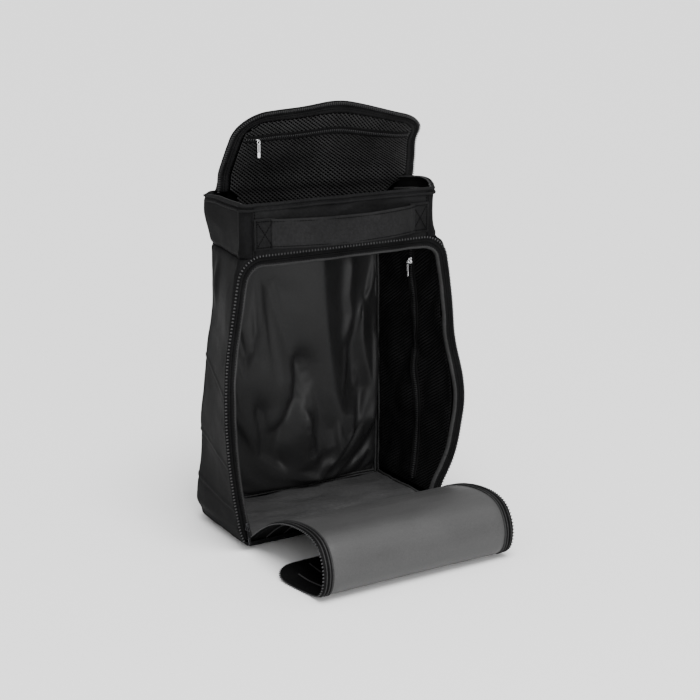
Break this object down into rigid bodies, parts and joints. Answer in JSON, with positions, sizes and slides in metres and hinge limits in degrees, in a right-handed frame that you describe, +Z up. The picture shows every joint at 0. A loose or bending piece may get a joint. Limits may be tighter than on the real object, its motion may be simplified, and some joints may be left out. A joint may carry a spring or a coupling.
{
  "type": "golf shoe bag",
  "caption": "Upright black zipped shoe bag with an open padded lid over a shallow top pocket and a roll-down front door to the shoe compartment, with a wide front handle.",
  "frame": {"origin": "centre of the base where it rests on the ground", "axes": "+X to the right as seen from the front opening, +Y to the back, +Z up"},
  "size_m": [0.286, 0.2809, 0.4618],
  "materials": {
    "nylon": "matt black padded twill nylon",
    "foam": "thin closed-cell foam sheet",
    "board": "stiff plastic board",
    "lining": "satin polyester lining",
    "mesh": "diagonal knitted mesh",
    "door_lining": "grey satin lining",
    "zip_tape": "woven zip tape",
    "zip_teeth": "black coil zip teeth",
    "binding": "woven binding tape",
    "silver_metal": "bright plated zip slider and pull",
    "dark_metal": "dark painted zip slider and pull"
  },
  "bodies": {
    "bag": {"base_panel": "nylon", "base_board": "board", "floor_lining": "lining", "back_panel": "nylon", "back_foam": "foam", "back_lining": "lining", "left_side_panel": "nylon", "left_side_lining": "lining", "right_side_panel": "nylon", "right_side_lining": "lining", "side_pocket_mesh": "mesh", "side_pocket_zip": "zip_tape", "front_upper_panel": "nylon", "front_corner_gussets": "nylon", "divider_panel": "lining", "top_rear_panel": "nylon", "rim_zip_tape": "zip_tape", "rim_zip_chain": "zip_teeth", "rim_binding": "binding", "door_frame_tape": "zip_tape", "door_frame_chain": "zip_teeth", "door_frame_binding": "binding", "seam_bindings": "binding", "handle_patches": "nylon", "handle_strap": "nylon"},
    "lid": {"lid_panel": "nylon", "lid_mesh": "mesh", "lid_pocket_zip": "zip_tape", "lid_zip_tape": "zip_tape", "lid_zip_chain": "zip_teeth", "lid_binding": "binding"},
    "lid_pocket_slider": {"lid_pocket_slider": "silver_metal"},
    "lid_pocket_pull": {"lid_pocket_pull": "silver_metal"},
    "side_pocket_slider": {"side_pocket_slider": "silver_metal"},
    "side_pocket_pull": {"side_pocket_pull": "silver_metal"},
    "rim_zip_slider": {"rim_zip_slider": "dark_metal"},
    "rim_zip_pull": {"rim_zip_pull": "dark_metal"},
    "door_zip_slider": {"door_zip_slider": "dark_metal"},
    "door_zip_pull": {"door_zip_pull": "dark_metal"},
    "door_1": {"door_panel_1": "nylon", "door_lining_1": "door_lining", "door_zip_1": "zip_teeth"},
    "door_2": {"door_panel_2": "nylon", "door_lining_2": "door_lining", "door_zip_2": "zip_teeth"},
    "door_3": {"door_panel_3": "nylon", "door_lining_3": "door_lining", "door_zip_3": "zip_teeth"},
    "door_4": {"door_panel_4": "nylon", "door_lining_4": "door_lining", "door_zip_4": "zip_teeth"},
    "door_5": {"door_panel_5": "nylon", "door_lining_5": "door_lining", "door_zip_5": "zip_teeth"},
    "door_6": {"door_panel_6": "nylon", "door_lining_6": "door_lining", "door_zip_6": "zip_teeth"},
    "door_7": {"door_panel_7": "nylon", "door_lining_7": "door_lining", "door_zip_7": "zip_teeth"}
  },
  "joints": [
    {"name": "lid_hinge", "type": "hinge", "parent": "bag", "child": "lid", "pos_m": [0, 0.038, 0.3775], "axis": [1, 0, 0], "range_deg": [-98, 60]},
    {"name": "lid_pocket_slide", "type": "slide", "parent": "lid", "child": "lid_pocket_slider", "axis": [1, 0, 0], "range_m": [0, 0.152]},
    {"name": "lid_pocket_pull_swing", "type": "hinge", "parent": "lid_pocket_slider", "child": "lid_pocket_pull", "pos_m": [-0.068, -0.00153, 0.42858], "axis": [1, 0, 0], "range_deg": [-140, 25]},
    {"name": "side_pocket_slide", "type": "slide", "parent": "bag", "child": "side_pocket_slider", "axis": [0, 0, -1], "range_m": [0, 0.24]},
    {"name": "side_pocket_pull_swing", "type": "hinge", "parent": "side_pocket_slider", "child": "side_pocket_pull", "pos_m": [0.1104, -0.015, 0.284], "axis": [0, 1, 0], "range_deg": [0, 120]},
    {"name": "rim_zip_slide", "type": "slide", "parent": "bag", "child": "rim_zip_slider", "axis": [0, -1, 0], "range_m": [0, 0.062]},
    {"name": "rim_pull_swing", "type": "hinge", "parent": "rim_zip_slider", "child": "rim_zip_pull", "pos_m": [0.1185, 0.018, 0.3735], "axis": [0, -1, 0], "range_deg": [0, 150]},
    {"name": "door_zip_slide", "type": "slide", "parent": "bag", "child": "door_zip_slider", "axis": [0, 0, 1], "range_m": [0, 0.25]},
    {"name": "door_pull_swing", "type": "hinge", "parent": "door_zip_slider", "child": "door_zip_pull", "pos_m": [-0.1195, -0.0639, 0.028], "axis": [-1, 0, 0], "range_deg": [0, 160]},
    {"name": "door_swing", "type": "hinge", "parent": "bag", "child": "door_1", "pos_m": [0, -0.0595, 0.0135], "axis": [-1, 0, 0], "range_deg": [0, 55]},
    {"name": "door_fold_1", "type": "hinge", "parent": "door_1", "child": "door_2", "pos_m": [0, -0.10169, 0.04304], "axis": [-1, 0, 0], "range_deg": [0, 16]},
    {"name": "door_fold_2", "type": "hinge", "parent": "door_2", "child": "door_3", "pos_m": [0, -0.14802, 0.05899], "axis": [-1, 0, 0], "range_deg": [0, 17]},
    {"name": "door_fold_3", "type": "hinge", "parent": "door_3", "child": "door_4", "pos_m": [0, -0.19699, 0.0607], "axis": [-1, 0, 0], "range_deg": [0, 47]},
    {"name": "door_fold_4", "type": "hinge", "parent": "door_4", "child": "door_5", "pos_m": [0, -0.21961, 0.03807], "axis": [-1, 0, 0], "range_deg": [0, 45]},
    {"name": "door_curl", "type": "hinge", "parent": "door_5", "child": "door_6", "pos_m": [0, -0.21961, 0.01307], "axis": [-1, 0, 0], "range_deg": [0, 59]},
    {"name": "door_fold_6", "type": "hinge", "parent": "door_6", "child": "door_7", "pos_m": [0, -0.20247, 0.00277], "axis": [-1, 0, 0], "range_deg": [0, 31]}
  ],
  "couplings": [
    {"joint": "door_fold_1", "follows": "door_curl", "ratio": 0.27119},
    {"joint": "door_fold_2", "follows": "door_curl", "ratio": 0.28813},
    {"joint": "door_fold_3", "follows": "door_curl", "ratio": 0.79661},
    {"joint": "door_fold_4", "follows": "door_curl", "ratio": 0.76271},
    {"joint": "door_fold_6", "follows": "door_curl", "ratio": 0.52542}
  ]
}
